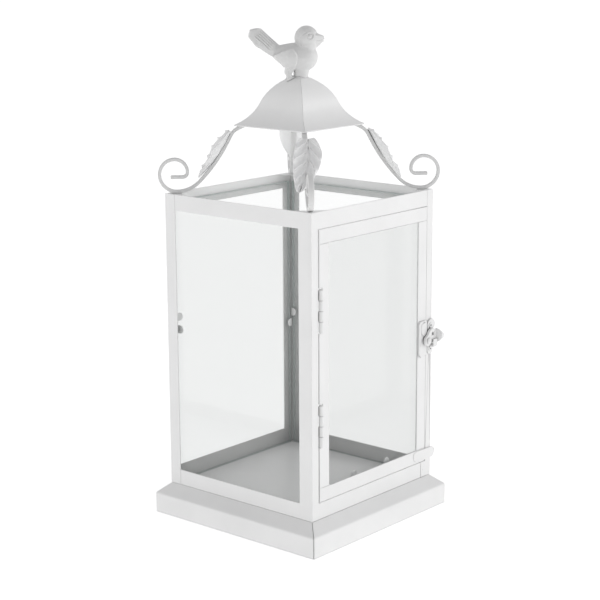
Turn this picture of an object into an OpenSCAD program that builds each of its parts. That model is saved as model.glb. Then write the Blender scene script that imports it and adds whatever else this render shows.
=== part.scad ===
// Candle lantern: a square glazed body with a hinged glass door, standing on a
// folded sheet base. Four scrolled straps with leaves carry a bell-shaped roof
// with a bird on top.
//
// Frame: origin at the centre of the base's underside, +Z up. The door is on the
// -Y side ("front"), and the other sides are left (-X), rear (+Y) and right (+X).

/* [Overall] */
// Height from the table to the top of the bird's head
total_h = 320; // [316:0.5:326]
// Side of the square base
base_side = 138; // [134:0.5:144]
// Side of the square glazed body
body_side = 122.8; // [122:0.1:124]
// Height of the body's top rim
rim_z = 214.4; // [212:0.2:216]

/* [Base] */
// Height of the base, up to the floor that the candle stands on
floor_z = 20.4; // [18:0.2:22]
// Height of the base's vertical skirt
skirt_h = 13.2; // [11:0.2:15]
// Thickness of the base's sheet
base_t = 1.0; // [0.8:0.1:1.2]
// Radius of the bend between skirt and shoulder
knee_r = 2.0; // [1.5:0.1:3]
// Width of the seam at each corner of the base
corner_seam = 0.35; // [0.2:0.05:0.5]
// Depth of the seam, down to the flap that is folded behind it
seam_depth = 0.55; // [0.3:0.05:0.7]
// How far the walls overhang the base's upper edge
wall_overhang = 0.5; // [0.3:0.05:0.6]
// Width of the groove round the floor, which the rear and right panes stand in
groove_w = 2.4; // [2.3:0.05:2.6]
// Depth of the groove round the floor
groove_d = 0.5; // [0.3:0.05:0.6]

/* [Body sheets] */
// Thickness of the body's sheet metal
sheet_t = 0.8; // [0.7:0.05:0.9]
// Width of the front sheet's stiles
stile_w = 10.4; // [10:0.1:11]
// Height of the rail over the windows
top_rail_h = 10.4; // [10:0.1:11]
// Height of the rail under the windows
bottom_rail_h = 10.2; // [10:0.1:11]
// Width of the rear sheet's stiles, and of its flange on the left face
left_flange_w = 8.6; // [8.4:0.1:8.8]
// Width of the rear sheet's flange beside the door
door_flange_w = 6.2; // [6:0.1:6.2]
// Width of the seam between the two sheets
seam_w = 0.25; // [0.2:0.05:0.4]

/* [Glass] */
// Thickness of the glass
glass_t = 2.0; // [1.8:0.1:2.2]
// How far a fixed pane reaches behind the sheet's edge
glass_lap = 4.8; // [4.6:0.1:4.9]
// How far the door's pane reaches behind the door's frame
door_glass_lap = 3.0; // [2.6:0.1:3.2]
// Width of a half-round clip that holds a pane
clip_w = 5.4; // [5:0.2:6]
// How far the clips under the door's pane reach over the visible glass
clip_reach = 2; // [1.5:0.1:2.5]
// Distance between the two clips or angles along a pane's edge
clip_pitch = 34; // [30:1:40]

/* [Door] */
// Width of the door
door_w = 109; // [108.6:0.1:109.2]
// Height of the door
door_h = 172; // [170:0.5:172.4]
// Height of the door's lower edge
door_z = 31.4; // [31.2:0.1:32]
// Width of the door frame's bars
door_bar = 9; // [8.8:0.1:9.2]
// Depth of the door frame's folded edge
door_fold = 2.8; // [2.4:0.1:3]

/* [Hinges] */
// Height of the middle of the lower hinge
lower_hinge_z = 80.5; // [70:0.5:90]
// Height of the middle of the upper hinge
upper_hinge_z = 153.3; // [145:0.5:165]
// Outside radius of a knuckle
knuckle_r = 1.45; // [1.35:0.05:1.5]
// Length of one knuckle
knuckle_l = 6.4; // [6:0.1:6.6]
// Radius of the hinge pin
pin_r = 0.7; // [0.6:0.05:0.75]

/* [Latch] */
// Height of the middle of the latch
latch_z = 116.2; // [110:0.5:122]
// Height of the latch plate
latch_plate_h = 24; // [22:0.5:26]
// Thickness of the latch plate
latch_plate_t = 1.3; // [1.1:0.1:1.4]
// Thickness of the latch lever
lever_t = 2.0; // [1.8:0.1:2.1]
// How far the door's pull tab sticks out past the body's side
tab_reach = 3.6; // [2.5:0.1:4]
// Distance between the keeper's two eyelets
eyelet_gap = 15.8; // [15:0.2:17]

/* [Roof] */
// Half of the roof's side at its eaves
roof_half = 29.8; // [29:0.1:30.5]
// Height of the eaves
eave_z = 257.6; // [256:0.2:259]
// Thickness of the roof's sheet
roof_t = 0.8; // [0.7:0.1:0.9]
// Radius of the roof's hollow flare
flare_r = 27; // [26:0.5:28]
// Radius of the roof's dome
dome_r = 30; // [29:0.5:31]

/* [Straps and leaves] */
// Width of a strap
strap_w = 3.4; // [3:0.1:4]
// Thickness of a strap
strap_t = 2.2; // [2:0.1:2.3]
// Radius of the scroll where it rests on the body
scroll_r = 11; // [10.5:0.1:11.5]
// Length of the straight end inside the scroll
scroll_end = 7.6; // [6:0.1:8]
// Half of a leaf's width
leaf_half_w = 8.8; // [8:0.1:9.5]
// Thickness of a leaf
leaf_t = 1.2; // [1:0.1:1.4]
// How far a leaf's edges stand up from its midrib
leaf_cup = 4.4; // [3.5:0.1:5]
// How far a leaf's tip bends to the side
leaf_bend = 5; // [0:0.5:6]

/* [Bird] */
// Radius of the bird's head
head_r = 7.5; // [7:0.1:7.8]
// Width of the bird's tail
tail_w = 9.6; // [8.6:0.1:10.4]
// Radius of the screw that holds the bird
screw_r = 1.5; // [1.4:0.1:1.6]

/* [Hidden] */

$fn = 48;
eps = 0.01;
paint = "white";
shade = "gainsboro";
glass = "lightcyan";

// Body
body_half = body_side / 2;
wall_in = body_half - sheet_t;
win_z0 = floor_z + bottom_rail_h;
win_z1 = rim_z - top_rail_h;
win_half = body_half - stile_w;
left_seam_y = body_half - left_flange_w;
rear_half = body_half - left_flange_w;
door_seam_x = body_half - door_flange_w;
low_seam_x = body_half - stile_w;
seam_relief_r = 0.45;
lap_t = 0.8;
lap_in = 6.6;
lap_z = [[floor_z + 2.6, floor_z + 5], [rim_z - 4.8, rim_z - 0.8]];
glass_gap = 0.05;
glass_out = wall_in - glass_gap;
glass_in = glass_out - glass_t;
standing_z0 = floor_z - groove_d + glass_gap;

// Clips
clip_t = 0.5;
clip_foot = 2;
clip_gap = 0.1;
clip_hidden = -1.4;
door_clip_hidden = -0.4;

// Door
door_x0 = -54;
door_x1 = door_x0 + door_w;
door_z1 = door_z + door_h;
door_open_x0 = -55;
door_gap_low = 0.4;
door_gap_top = 0.45;
joint_w = 0.25;
joint_d = 0.2;
door_in_x0 = door_x0 + door_bar;
door_in_x1 = door_x1 - door_bar;
door_in_z0 = door_z + door_bar;
door_in_z1 = door_z1 - door_bar;

// Hinges
hinge_x = -52.9;
hinge_y = -body_half - 0.3;
knuckles = 4;
knuckle_gap = 0.2;
hinge_h = knuckles * knuckle_l + (knuckles - 1) * knuckle_gap;
hinge_leaf_t = 0.5;
pin_clear = 0.05;
pin_head_r = 1.2;
pin_head_h = 0.5;
notch_x1 = -51;
frame_leaf_x = [-60.2, -55.2];
door_leaf_x1 = -48.6;

// Latch: heights across the door's face, measured forward from it
pivot_x = 53.2;
pivot_z = latch_z - 1.2;
lever_back = latch_plate_t + 0.7;
lever_front = lever_back + lever_t;
lever_nose = [57.6, latch_z + 1.6];
nose_r = 4.7;
rivet_r = 1.1;
rivet_clear = 0.06;
keeper_x = 58.6;
keeper_w = 6.4;
keeper_t = 1.2;
eyelet_r = 1.0;

// Roof profile, as [half width, height] at a slope angle
eave_slope = 30;
steep_slope = 70;
flare_end = [roof_half - flare_r * (sin(steep_slope) - sin(eave_slope)),
             eave_z + flare_r * (cos(eave_slope) - cos(steep_slope))];
apex_slope = asin(sin(steep_slope) - flare_end[0] / dome_r);
apex_z = flare_end[1] + dome_r * (cos(apex_slope) - cos(steep_slope));
function flare_at(a) = [roof_half - flare_r * (sin(a) - sin(eave_slope)),
                        eave_z + flare_r * (cos(eave_slope) - cos(a))];
function dome_at(a) = [flare_end[0] - dome_r * (sin(steep_slope) - sin(a)),
                       flare_end[1] + dome_r * (cos(a) - cos(steep_slope))];
function inward(p, a) = p - roof_t * [sin(a), cos(a)];
roof_steps = 8;
flare_angles = [for (i = [0:roof_steps]) eave_slope + (steep_slope - eave_slope) * i / roof_steps];
dome_angles = [for (i = [1:roof_steps]) steep_slope + (apex_slope - steep_slope) * i / roof_steps];

// Strap path in the vertical plane through a corner, as [distance out, height].
// An arc starts at p, heads inward and up at slope a0, and bends to slope a1.
function arc_up(p, r, a0, a1, n) = [for (i = [0:n]) let (a = a0 + (a1 - a0) * i / n)
    p + r * sign(a1 - a0) * [sin(a0) - sin(a), cos(a0) - cos(a)]];
function last(list) = list[len(list) - 1];
// A quarter of the scroll about centre c, from angle a0 to a1
function arc_about(c, r, a0, a1, n) = [for (i = [1:n]) let (a = a0 + (a1 - a0) * i / n)
    c + r * [cos(a), sin(a)]];

// The upper leg lies under the roof's hip, clear of it by hip_clear
hip_clear = 0.15;
hip_inset = 2.2;
leg_off = strap_t / 2 + hip_clear;
function hip_slope(a) = atan(tan(a) / sqrt(2));
function leg_at(a) = let (q = inward(flare_at(a), a), s = hip_slope(a))
    [sqrt(2) * q[0] - hip_inset, q[1]] - leg_off * [sin(s), cos(s)];
leg_top_slope = 50;
leg_steps = 6;
leg = [for (i = [0:leg_steps]) leg_at(leg_top_slope + (eave_slope - leg_top_slope) * i / leg_steps)];
leg_end = last(leg);
leg_slope = hip_slope(eave_slope);

// Below the roof the strap runs down in two arcs to its foot on the body's corner
foot_r = 20;
foot_slope = 45;
sweep_r = 103;
sweep_slope = 63;
bend_r = 10;
foot_z = rim_z + strap_t / 2;
sweep_end_z = foot_z + foot_r * (1 - cos(foot_slope)) + sweep_r * (cos(foot_slope) - cos(sweep_slope));
bend_rise = bend_r * (cos(leg_slope) - cos(sweep_slope));
bend_run = bend_r * (sin(sweep_slope) - sin(leg_slope));
straight_l = (leg_end[1] - bend_rise - sweep_end_z) / sin(sweep_slope);
foot_s = leg_end[0] + bend_run + straight_l * cos(sweep_slope)
    + sweep_r * (sin(sweep_slope) - sin(foot_slope)) + foot_r * sin(foot_slope);
foot_pts = arc_up([foot_s, foot_z], foot_r, 0, foot_slope, 8);
sweep_pts = arc_up(last(foot_pts), sweep_r, foot_slope, sweep_slope, 8);
sweep_end = last(sweep_pts);
bend_start = sweep_end + straight_l * [-cos(sweep_slope), sin(sweep_slope)];
bend_pts = [for (i = [0:5]) let (a = sweep_slope + (leg_slope - sweep_slope) * i / 5)
    bend_start + bend_r * [sin(a) - sin(sweep_slope), cos(a) - cos(sweep_slope)]];

// The scroll winds outward, up and back in quarter turns of shrinking radius
turn_r = [scroll_r, scroll_r - 1.3, scroll_r - 2.8, scroll_r - 7.8];
turn_c0 = [foot_s, foot_z + turn_r[0]];
turn_c1 = turn_c0 + [turn_r[0] - turn_r[1], 0];
turn_c2 = turn_c1 + [0, turn_r[1] - turn_r[2]];
turn_c3 = turn_c2 - [turn_r[2] - turn_r[3], 0];
curl = concat(arc_about(turn_c0, turn_r[0], -90, 0, 9), arc_about(turn_c1, turn_r[1], 0, 90, 9),
    arc_about(turn_c2, turn_r[2], 90, 180, 9), arc_about(turn_c3, turn_r[3], 180, 270, 7));
curl_end = last(curl) + [scroll_end, 0];

function reversed(list) = [for (i = [len(list) - 1:-1:0]) list[i]];
down_pts = concat(leg, [for (i = [4:-1:0]) bend_pts[i]], reversed(sweep_pts),
    [for (i = [7:-1:0]) foot_pts[i]]);
strap_path = concat(down_pts, curl, [curl_end]);
function unit(v) = v / norm(v);
function side(list, i) = let (n = len(list), d = unit(list[min(i + 1, n - 1)] - list[max(i - 1, 0)]))
    [-d[1], d[0]];
strap_outline = concat(
    [for (i = [0:len(strap_path) - 1]) strap_path[i] + strap_t / 2 * side(strap_path, i)],
    reversed([for (i = [0:len(strap_path) - 1]) strap_path[i] - strap_t / 2 * side(strap_path, i)]));

// Leaf grid: u runs 0 at the stalk to 1 at the tip, v runs -1 to 1 across
leaf_n = 14;
leaf_m = 8;
leaf_slope0 = 66;
leaf_slope1 = 45.5;
leaf_gap = 0.1;
sweep_centre = last(foot_pts) + sweep_r * [sin(foot_slope), cos(foot_slope)];
function leaf_width(u) = 0.6 + (leaf_half_w - 0.6) * pow(sin(180 * pow(0.06 + 0.94 * u, 0.85)), 0.7);
function leaf_rise(u, v) = leaf_cup * pow(abs(v) * leaf_width(u) / leaf_half_w, 1.7);
function leaf_point(u, v, lift) = let (a = leaf_slope0 + (leaf_slope1 - leaf_slope0) * u,
    r = sweep_r - strap_t / 2 - leaf_gap - lift - leaf_rise(u, v),
    p = sweep_centre - r * [sin(a), cos(a)])
    [p[0], v * leaf_width(u) - leaf_bend * pow(u, 2.2), p[1]];

// Corner directions, as turns about Z
front_left = 225;
front_right = 315;
rear_right = 45;
rear_left = 135;

// Bird, in its own vertical plane: x towards the beak, which points to the front right
bird_turn = -45;
head_c = [4.9, 0, total_h - head_r];
breast = [3.4, 0, total_h - 19.4];
belly = [-4.6, 0, total_h - 20.6];
rump = [-15.5, 0, total_h - 16.8];
tail_root = [-12.8, 0, total_h - 13];
tail_rise = 42.5;
bird_foot_z = apex_z - 0.4;

// ---------------------------------------------------------------- helpers

// Profile of one side of the base, as [distance out, height]. Its outside can lie
// deeper than the real surface, for the flaps behind the corner seams.
module base_profile(depth = 0) {
    out = base_side / 2;
    top = body_half - wall_overhang;
    slope = atan((floor_z - skirt_h) / (out - top));
    knee_c = [out - knee_r, skirt_h - knee_r * tan(slope / 2)];
    knee = [for (i = [0:6]) let (a = slope_normal(slope) * i / 6)
        knee_c + (knee_r - depth) * [cos(a), sin(a)]];
    crest = [top - depth * tan(slope / 2), floor_z - depth];
    knee_in = [for (i = [6:-1:0]) let (a = slope_normal(slope) * i / 6)
        knee_c + (knee_r - base_t) * [cos(a), sin(a)]];
    polygon(concat([[out - depth, 0]], knee, [crest],
        [[top - 2, floor_z - depth], [top - 2, floor_z - base_t],
         [top - base_t * tan(slope / 2), floor_z - base_t]],
        knee_in, [[out - base_t, 0]]));
}
function slope_normal(slope) = 90 - slope;

// A wedge 90 degrees wide about +X, used to mitre four equal sides
module side_wedge(reach, z0, z1) {
    translate([0, 0, z0]) linear_extrude(z1 - z0)
        polygon([[0, 0], [reach, -reach], [reach, reach]]);
}

// A flat bar or plate between two corners
module block(lo, hi) {
    translate(lo) cube(hi - lo);
}

// An angle welded on the sheet beside a pane's edge. In its own frame the window's edge
// is at y = 0, the visible glass is towards +y, and the sheet's inner face is at z = 0.
module clip_foot(lap) {
    riser = lap + clip_gap + clip_t;
    block([-clip_w / 2, -riser - clip_foot, 0], [clip_w / 2, -riser + clip_t, clip_t]);
    block([-clip_w / 2, -riser, 0],
        [clip_w / 2, -riser + clip_t, glass_gap + glass_t + clip_gap + clip_t]);
}

// A clip: the angle, and a half-round tab that is bent over the glass as far as reach
module clip(lap, reach) {
    over = glass_gap + glass_t + clip_gap;
    clip_foot(lap);
    translate([0, 0, over]) linear_extrude(clip_t) intersection() {
        translate([-clip_w / 2, -lap - clip_gap - clip_t])
            square([clip_w, lap + clip_gap + clip_t + reach]);
        union() {
            translate([-clip_w / 2, -lap - 2]) square([clip_w, lap + 2 + reach - clip_w / 2]);
            translate([0, reach - clip_w / 2]) circle(clip_w / 2);
        }
    }
}

// The clips of a fixed pane, in a face whose inner side looks along +z (x across, y up):
// one on each jamb, at its own height and reach
module jamb_clips(x, clip_y, reach) {
    translate([x[0], clip_y[0], 0]) rotate(-90) clip(glass_lap, reach[0]);
    translate([x[1], clip_y[1], 0]) rotate(90) clip(glass_lap, reach[1]);
}

// Puts a face drawn in x (across) and y (up), with +z inward, on the front wall's inner face
module on_front() {
    translate([0, -wall_in, 0]) rotate([90, 0, 0]) mirror([0, 0, 1]) children();
}

// One knuckle of a hinge, number k from the bottom, standing on the hinge's axis
module knuckle(k, mid_z) {
    z0 = mid_z - hinge_h / 2 + k * (knuckle_l + knuckle_gap);
    translate([hinge_x, hinge_y, z0]) cylinder(r = knuckle_r, h = knuckle_l);
}

module pin_bore(mid_z) {
    translate([hinge_x, hinge_y, mid_z - hinge_h]) cylinder(r = pin_r + pin_clear, h = 2 * hinge_h);
}

// A strip that joins one knuckle to its leaf behind the sheet
module knuckle_strip(k, mid_z, x0, x1) {
    z0 = mid_z - hinge_h / 2 + k * (knuckle_l + knuckle_gap);
    block([x0, hinge_y, z0], [x1, -wall_in + hinge_leaf_t, z0 + knuckle_l]);
}

module hinge_frame_leaf(mid_z) {
    strip_x = hinge_x - knuckle_r;
    color(paint) difference() {
        union() {
            for (k = [1, 3]) {
                knuckle(k, mid_z);
                knuckle_strip(k, mid_z, strip_x, strip_x + hinge_leaf_t);
                z0 = mid_z - hinge_h / 2 + k * (knuckle_l + knuckle_gap);
                block([frame_leaf_x[1] - eps, -wall_in, z0],
                    [strip_x + eps, -wall_in + hinge_leaf_t, z0 + knuckle_l]);
            }
            block([frame_leaf_x[0], -wall_in, mid_z - hinge_h / 2],
                [frame_leaf_x[1], -wall_in + hinge_leaf_t, mid_z + hinge_h / 2]);
        }
        pin_bore(mid_z);
    }
}

module hinge_door_leaf(mid_z) {
    strip_x = hinge_x + knuckle_r;
    color(paint) difference() {
        union() {
            for (k = [0, 2]) {
                knuckle(k, mid_z);
                knuckle_strip(k, mid_z, strip_x - hinge_leaf_t, strip_x);
            }
            block([strip_x - eps, -wall_in, mid_z - hinge_h / 2],
                [door_leaf_x1, -wall_in + hinge_leaf_t, mid_z + hinge_h / 2]);
        }
        pin_bore(mid_z);
    }
}

module hinge_pin(mid_z) {
    color(shade) translate([hinge_x, hinge_y, mid_z]) {
        translate([0, 0, -hinge_h / 2 - pin_head_h / 2]) cylinder(r = pin_r, h = hinge_h + pin_head_h);
        for (s = [-1, 1])
            translate([0, 0, s * (hinge_h + pin_head_h) / 2])
                cylinder(r = pin_head_r, h = pin_head_h, center = true);
    }
}

// Places a latch piece drawn in x and z as a flat shape, from y0 to y1 in front of the face
module before_face(y0, y1) {
    translate([0, -body_half - y0, 0]) rotate([90, 0, 0]) linear_extrude(y1 - y0) children();
}

module pill(a, b, r) {
    d = unit(b - a);
    n = [-d[1], d[0]] * r;
    translate(a) circle(r);
    translate(b) circle(r);
    polygon([a + n, a - n, b - n, b + n]);
}

module rounded_rect(lo, hi, r) {
    translate(lo + [r, 0]) square([hi[0] - lo[0] - 2 * r, hi[1] - lo[1]]);
    translate(lo + [0, r]) square([hi[0] - lo[0], hi[1] - lo[1] - 2 * r]);
    for (x = [lo[0] + r, hi[0] - r], z = [lo[1] + r, hi[1] - r])
        translate([x, z]) circle(r);
}

module strap(turn) {
    color(paint) rotate([90, 0, turn]) linear_extrude(strap_w, center = true) polygon(strap_outline);
}

module leaf(turn) {
    row = leaf_m + 1;
    size = (leaf_n + 1) * row;
    points = concat(
        [for (i = [0:leaf_n], j = [0:leaf_m]) leaf_point(i / leaf_n, 2 * j / leaf_m - 1, 0)],
        [for (i = [0:leaf_n], j = [0:leaf_m]) leaf_point(i / leaf_n, 2 * j / leaf_m - 1, leaf_t)]);
    under = [for (i = [0:leaf_n - 1], j = [0:leaf_m - 1], k = [0, 1])
        let (p = i * row + j) k == 0 ? [p, p + row, p + 1] : [p + 1, p + row, p + row + 1]];
    upper = [for (f = under) [f[0] + size, f[2] + size, f[1] + size]];
    ends = [for (j = [0:leaf_m - 1], i = [0, leaf_n], k = [0, 1])
        let (p = i * row + j, f = k == 0 ? [p, p + 1, p + size] : [p + 1, p + 1 + size, p + size])
        i == 0 ? f : [f[0], f[2], f[1]]];
    edges = [for (i = [0:leaf_n - 1], j = [0, leaf_m], k = [0, 1])
        let (p = i * row + j, f = k == 0 ? [p, p + size, p + row] : [p + row, p + size, p + row + size])
        j == 0 ? f : [f[0], f[2], f[1]]];
    color(paint) rotate(turn) polyhedron(points, concat(under, upper, ends, edges));
}

// A quarter of the roof, drawn towards +X
module roof_panel(turn) {
    outer = concat([for (a = flare_angles) flare_at(a)], [for (a = dome_angles) dome_at(a)]);
    inner = concat([for (a = flare_angles) inward(flare_at(a), a)],
        [for (a = dome_angles) inward(dome_at(a), a)]);
    seam = 0.06;
    color(paint) rotate(turn) difference() {
        intersection() {
            rotate([90, 0, 0]) linear_extrude(2 * roof_half, center = true)
                polygon(concat(outer, reversed(inner)));
            translate([seam, 0, 0]) side_wedge(roof_half + 2, eave_z - 2, apex_z + 2);
        }
        cylinder(r = screw_r + 0.1, h = total_h);
    }
}

// ---------------------------------------------------------------- base and body

// The four mitred sides of the base
module base_sides(depth = 0) {
    for (turn = [0:90:270])
        rotate(turn) intersection() {
            rotate([90, 0, 0]) linear_extrude(base_side + 2, center = true) base_profile(depth);
            side_wedge(base_side, -1, floor_z + 1);
        }
}

module base_tray() {
    color(paint) difference() {
        union() {
            base_sides();
            block([-body_half + 1, -body_half + 1, floor_z - base_t],
                [body_half - 1, body_half - 1, floor_z]);
        }
        for (turn = [0:90:270])
            rotate(turn) block([-wall_in, -wall_in, floor_z - groove_d],
                [wall_in - groove_w, groove_w - wall_in, floor_z + 1]);
        difference() {
            for (turn = [45:90:315])
                rotate(turn) translate([(body_half - wall_overhang) * sqrt(2), -corner_seam / 2, -1])
                    cube([base_side, corner_seam, floor_z + 2]);
            base_sides(seam_depth);
        }
    }
}

module front_sheet() {
    color(paint) {
        difference() {
            union() {
                block([-body_half, -body_half, floor_z], [-wall_in, left_seam_y - seam_w, rim_z]);
                block([-body_half, -body_half, door_z], [door_seam_x - seam_w, -wall_in, rim_z]);
                block([-body_half, -body_half, floor_z], [low_seam_x - seam_w, -wall_in, door_z]);
            }
            block([-body_half - 1, -win_half, win_z0], [-wall_in + 1, body_half, win_z1]);
            block([door_open_x0, -body_half - 1, door_z - door_gap_low],
                [body_half, -wall_in + 1, door_z1 + door_gap_top]);
        }
        for (z = lap_z) {
            block([-wall_in - eps, left_seam_y - lap_in, z[0]], [-wall_in + lap_t, wall_in - 0.4, z[1]]);
            block([low_seam_x - lap_in, -wall_in - eps, z[0]], [wall_in - 0.4, -wall_in + lap_t, z[1]]);
        }
    }
}

module rear_sheet() {
    color(paint) difference() {
        union() {
            block([wall_in, -body_half, floor_z], [body_half, body_half, rim_z]);
            block([-body_half, wall_in, floor_z], [body_half, body_half, rim_z]);
            block([-body_half, left_seam_y, floor_z], [-wall_in, body_half, rim_z]);
            block([door_seam_x, -body_half, floor_z], [body_half, -wall_in, rim_z]);
            block([low_seam_x, -body_half, floor_z], [body_half, -wall_in, door_z - door_gap_low]);
        }
        translate([low_seam_x, -wall_in + 1, floor_z]) rotate([90, 0, 0])
            cylinder(r = seam_relief_r, h = 3);
        block([wall_in - 1, -rear_half, win_z0], [body_half + 1, rear_half, win_z1]);
        block([-rear_half, wall_in - 1, win_z0], [rear_half, body_half + 1, win_z1]);
        for (s = [-1, 1])
            translate([keeper_x, -wall_in + 1, latch_z + s * eyelet_gap / 2])
                rotate([90, 0, 0]) cylinder(r = eyelet_r + rivet_clear, h = 4);
    }
}

// The left pane ends above the lap that joins the two sheets. The other two stand in the
// floor's groove.
module left_glass() {
    color(glass, 0.4)
        block([-glass_out, -win_half - glass_lap, win_z0 - glass_lap],
            [-glass_in, left_seam_y + glass_lap, win_z1 + glass_lap]);
}

module rear_glass() {
    color(glass, 0.4)
        block([-rear_half - glass_lap, glass_in, standing_z0],
            [rear_half + glass_lap, glass_out, win_z1 + glass_lap]);
}

module right_glass() {
    color(glass, 0.4)
        block([glass_in, -rear_half - glass_lap, standing_z0],
            [glass_out, rear_half + glass_lap, win_z1 + glass_lap]);
}

// Heights of the clips on the jambs, which were set by hand
mid_z = (win_z0 + win_z1) / 2;
module left_glass_clips() {
    color(paint) rotate(-90) on_front() {
        jamb_clips([-left_seam_y, win_half], [mid_z + 8, mid_z + 2], [2.3, clip_hidden]);
        for (s = [-1, 1])
            translate([s * clip_pitch / 2, win_z0, 0]) clip_foot(glass_lap);
    }
}

module rear_glass_clips() {
    color(paint) rotate(180) on_front()
        jamb_clips([-rear_half, rear_half], [mid_z - 9, mid_z + 15], [clip_hidden, clip_reach]);
}

module right_glass_clips() {
    color(paint) rotate(90) on_front()
        jamb_clips([-rear_half, rear_half], [mid_z + 3, mid_z - 1.5], [clip_hidden, clip_hidden]);
}

// ---------------------------------------------------------------- door

module door_frame() {
    color(paint) difference() {
        block([door_x0, -body_half, door_z], [door_x1, -body_half + door_fold, door_z1]);
        block([door_x0 + sheet_t, -wall_in, door_z + sheet_t],
            [door_x1 - sheet_t, 0, door_z1 - sheet_t]);
        block([door_in_x0, -body_half - 1, door_in_z0], [door_in_x1, 0, door_in_z1]);
        for (z = [lower_hinge_z, upper_hinge_z])
            block([door_x0 - 1, -body_half - 1, z - hinge_h / 2 - 1],
                [notch_x1, 0, z + hinge_h / 2 + 1]);
        for (x = [[door_x0 - 1, door_in_x0 + 1], [door_in_x1 - 1, door_x1 + 1]],
            z = [door_in_z0, door_in_z1])
            block([x[0], -body_half - 1, z - joint_w / 2],
                [x[1], -body_half + joint_d, z + joint_w / 2]);
    }
}

module door_glass() {
    color(glass, 0.4)
        block([door_in_x0 - door_glass_lap, -glass_out, door_in_z0 - door_glass_lap],
            [door_in_x1 + door_glass_lap, -glass_in, door_in_z1 + door_glass_lap]);
}

module door_glass_clips() {
    mid_x = (door_in_x0 + door_in_x1) / 2;
    color(paint) on_front()
        for (s = [-1, 1]) {
            translate([mid_x + s * clip_pitch / 2, door_in_z0, 0]) clip(door_glass_lap, clip_reach);
            translate([mid_x + s * clip_pitch / 2, door_in_z1, 0]) rotate(180)
                clip(door_glass_lap, door_clip_hidden);
        }
}

// Rounded ear on the door's lower right corner. It laps over the body's flange as the
// door's stop, and sticks out past the body's edge for a finger. Its left end slopes
// down to the door's face.
module door_pull_tab() {
    tab_r = 3.6;
    tab_t = 1;
    tab_z = door_z + door_bar / 2 + 0.4;
    left_x = door_x1 - door_bar;
    ramp_l = door_bar;
    color(paint) difference() {
        before_face(0, tab_t)
            pill([left_x, tab_z], [body_half + tab_reach - tab_r, tab_z], tab_r);
        translate([left_x - tab_r, -body_half - 0.03, tab_z]) rotate(-atan(tab_t / ramp_l))
            translate([-1, -4, -door_bar]) cube([ramp_l + 1, 4, 2 * door_bar]);
    }
}

module upper_hinge_frame_leaf() { hinge_frame_leaf(upper_hinge_z); }
module upper_hinge_door_leaf() { hinge_door_leaf(upper_hinge_z); }
module upper_hinge_pin() { hinge_pin(upper_hinge_z); }
module lower_hinge_frame_leaf() { hinge_frame_leaf(lower_hinge_z); }
module lower_hinge_door_leaf() { hinge_door_leaf(lower_hinge_z); }
module lower_hinge_pin() { hinge_pin(lower_hinge_z); }

// ---------------------------------------------------------------- latch

module latch_plate() {
    color(paint) difference() {
        union() {
            before_face(0, latch_plate_t)
                rounded_rect([46.2, latch_z - latch_plate_h / 2], [door_x1 - 0.2, latch_z + latch_plate_h / 2], 2);
            before_face(latch_plate_t - eps, latch_plate_t + 0.45)
                pill([51.2, latch_z + 4.6], [51.2, latch_z + 8.2], 2.9);
        }
        translate([pivot_x, -wall_in, pivot_z]) rotate([90, 0, 0])
            cylinder(r = rivet_r + rivet_clear, h = 20);
    }
}

// Rivet on the door that the lever turns on, with a shoulder under the lever
module latch_pivot_rivet() {
    color(shade) translate([pivot_x, -body_half, pivot_z]) rotate([90, 0, 0]) {
        cylinder(r = rivet_r, h = lever_front + 0.3);
        translate([0, 0, latch_plate_t]) cylinder(r = 1.9, h = lever_back - latch_plate_t - 0.1);
        translate([0, 0, lever_front + 0.1]) intersection() {
            cylinder(r = 2.1, h = 1.2);
            translate([0, 0, -1.7]) sphere(2.9);
        }
    }
}

// Drop lever: a flat cam that falls behind the keeper's hook, with a curved thumb wing
module latch_lever() {
    wing_r = 6;
    wing_t = 1.5;
    wing_c = [lever_nose[0] + 9.3, -body_half - lever_front + 0.6];
    wing_reach = 4.2;
    color(paint) difference() {
        union() {
            before_face(lever_back, lever_front) {
                pill([pivot_x, pivot_z], lever_nose, 3.5);
                translate(lever_nose) circle(nose_r);
            }
            translate([0, 0, lever_nose[1]]) intersection() {
                translate([wing_c[0], wing_c[1], -6]) difference() {
                    cylinder(r = wing_r, h = 12);
                    translate([0, 0, -1]) cylinder(r = wing_r - wing_t, h = 14);
                }
                block([wing_c[0] - wing_r - 1, wing_c[1] - wing_reach, -6], [wing_c[0], wing_c[1], 6]);
                translate([lever_nose[0], wing_c[1] + 0.6, -0.6]) rotate([0, 90, 0])
                    cylinder(r = 4.9, h = 14);
            }
        }
        translate([pivot_x, 0, pivot_z]) rotate([90, 0, 0])
            cylinder(r = rivet_r + rivet_clear, h = 80);
        translate([lever_nose[0] + 0.2, 0, lever_nose[1] + 1.2]) rotate([90, 0, 0])
            cylinder(r = 1.2, h = 80);
    }
}

// Keeper on the body's flange: two ears and a hook that the lever drops behind
module latch_keeper() {
    half = latch_plate_h / 2 - keeper_w / 2 - 0.4;
    hook_z = lever_nose[1] - nose_r - 1.6;
    lip_y = lever_front + 0.6;
    color(paint) difference() {
        union() {
            before_face(0, keeper_t)
                pill([keeper_x, latch_z - half], [keeper_x, latch_z + half], keeper_w / 2);
            before_face(0, keeper_t)
                translate([keeper_x + 1.4, latch_z + half]) circle(keeper_w / 2 + 0.6);
            block([keeper_x - 2, -body_half - lip_y - 0.9, hook_z - 1.2],
                [keeper_x + 2, -body_half - keeper_t + eps, hook_z]);
            block([keeper_x - 2, -body_half - lip_y - 0.9, hook_z - eps],
                [keeper_x + 2, -body_half - lip_y, hook_z + 4]);
        }
        for (s = [-1, 1])
            translate([keeper_x, -wall_in, latch_z + s * eyelet_gap / 2])
                rotate([90, 0, 0]) cylinder(r = eyelet_r + rivet_clear, h = 12);
    }
}

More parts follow.
